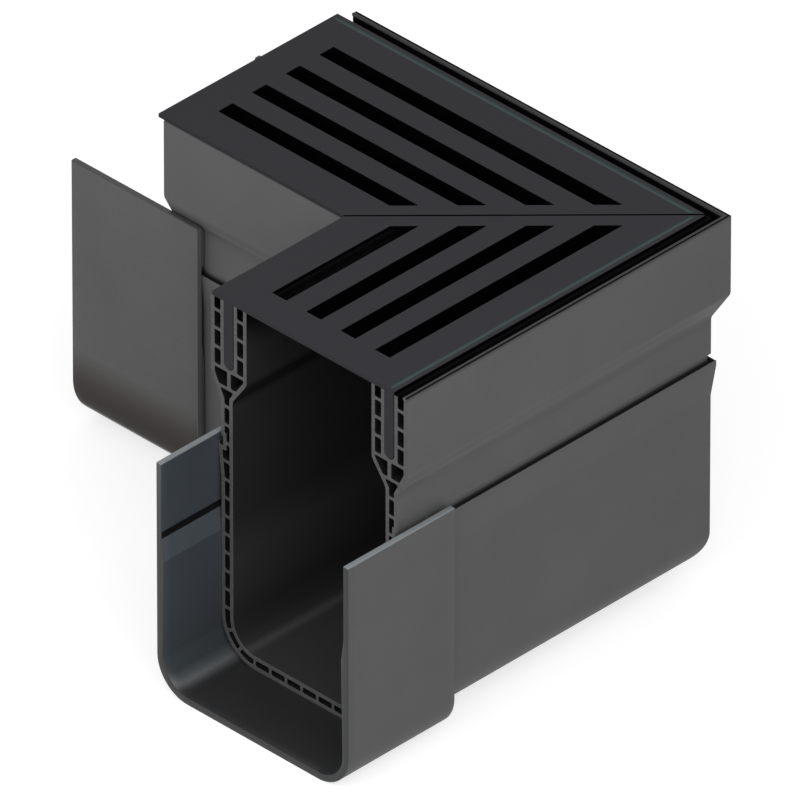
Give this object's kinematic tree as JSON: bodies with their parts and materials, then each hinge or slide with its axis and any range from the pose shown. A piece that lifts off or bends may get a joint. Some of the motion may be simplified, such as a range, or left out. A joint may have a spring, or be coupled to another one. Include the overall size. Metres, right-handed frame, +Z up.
{
  "type": "drain channel corner",
  "caption": "Right-angled corner of a hollow-chamber line drain: mitred channel lengths, slotted drop-in grates and open-topped coupling sleeves round the free ends.",
  "frame": {"origin": "middle of the underside, on the plane that the sleeves stand on", "axes": "+Z up; the front arm runs from the corner along -Y and the side arm along -X, so the outer corner is at +X +Y"},
  "size_m": [0.3088, 0.2526, 0.2054],
  "materials": {
    "channel": "dark grey PVC, fine matt grain",
    "grate": "anthracite powder coat, fine matt",
    "sleeve": "dark grey PVC, fine matt grain"
  },
  "bodies": {
    "root": {"channel_front": "channel", "channel_side": "channel", "grate_front": "grate", "grate_side": "grate", "sleeve_front": "sleeve", "sleeve_side": "sleeve"}
  },
  "joints": []
}
